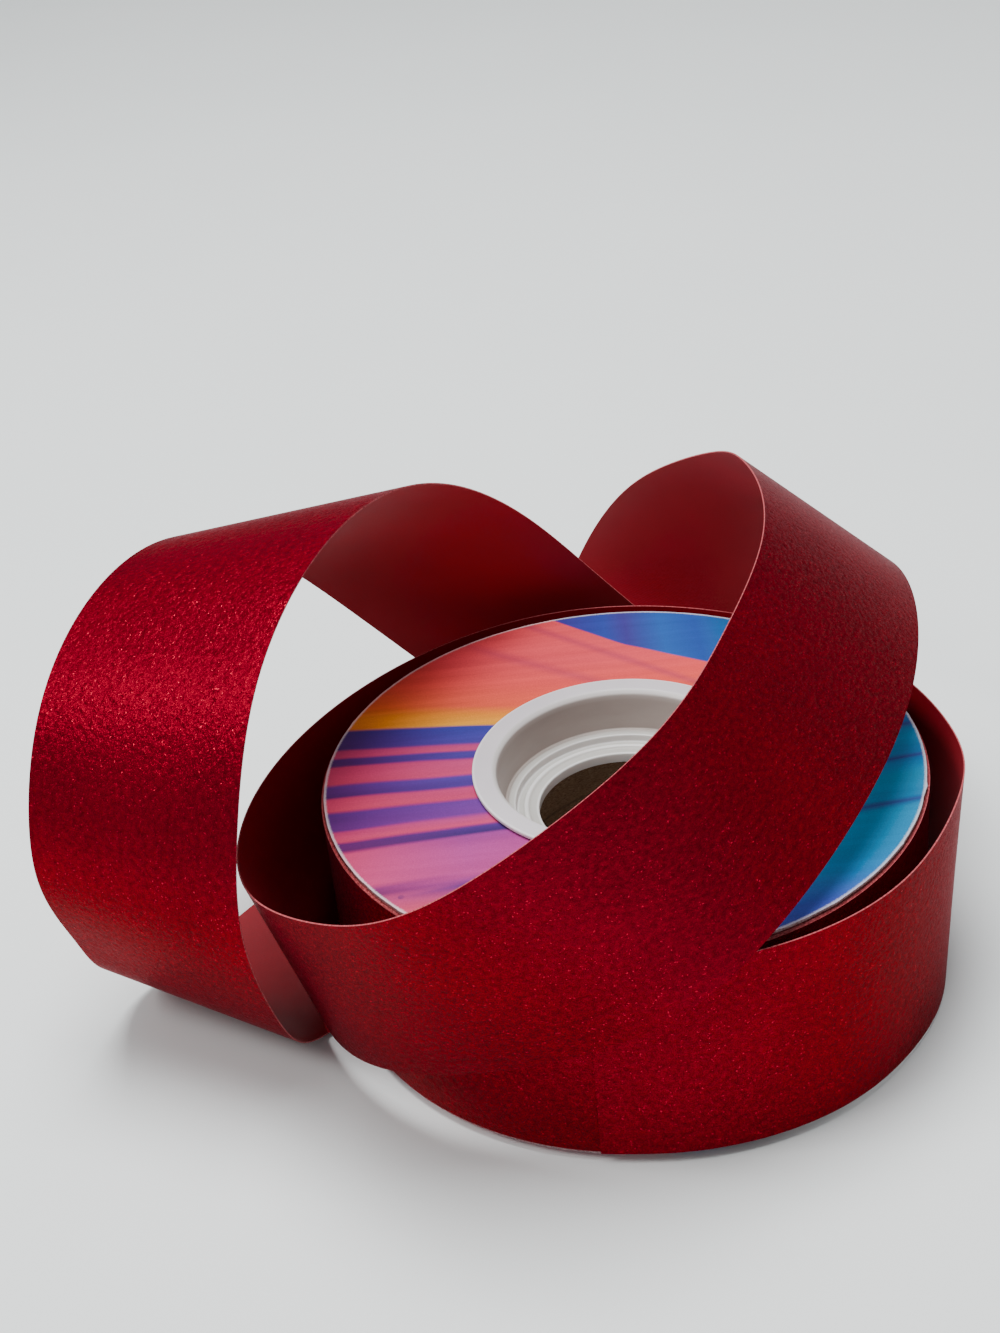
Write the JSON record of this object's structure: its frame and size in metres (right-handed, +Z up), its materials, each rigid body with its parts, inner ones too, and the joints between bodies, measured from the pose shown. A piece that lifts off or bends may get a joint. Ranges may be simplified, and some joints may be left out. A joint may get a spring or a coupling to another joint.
{
  "type": "ribbon spool",
  "caption": "Flat spool of wide gift ribbon: cardboard core, press-in plastic plugs, card side discs, wound ribbon and a loose looping tail.",
  "frame": {"origin": "on the spool's axis, at the underside of the bottom plug's flange", "axes": "+Z up along the spool's axis; -Y towards the side where the ribbon leaves the winding; +X to the right"},
  "size_m": [0.1942, 0.189, 0.1064],
  "materials": {
    "core_board": "plain brown board",
    "plug_plastic": "milky translucent, satin",
    "disc_card": "coated card, printed in many colours",
    "ribbon": "metallic red with fine glitter outside, satin inside"
  },
  "bodies": {
    "spool": {"core_tube": "core_board", "bottom_plug": "plug_plastic", "top_plug": "plug_plastic", "bottom_disc": "disc_card", "top_disc": "disc_card", "ribbon_winding": "ribbon"},
    "ribbon_tail": {"ribbon_tail": "ribbon"}
  },
  "joints": [
    {"name": "ribbon_payout", "type": "hinge", "parent": "spool", "child": "ribbon_tail", "pos_m": [0, 0, 0], "axis": [0, 0, 1], "continuous": true}
  ]
}
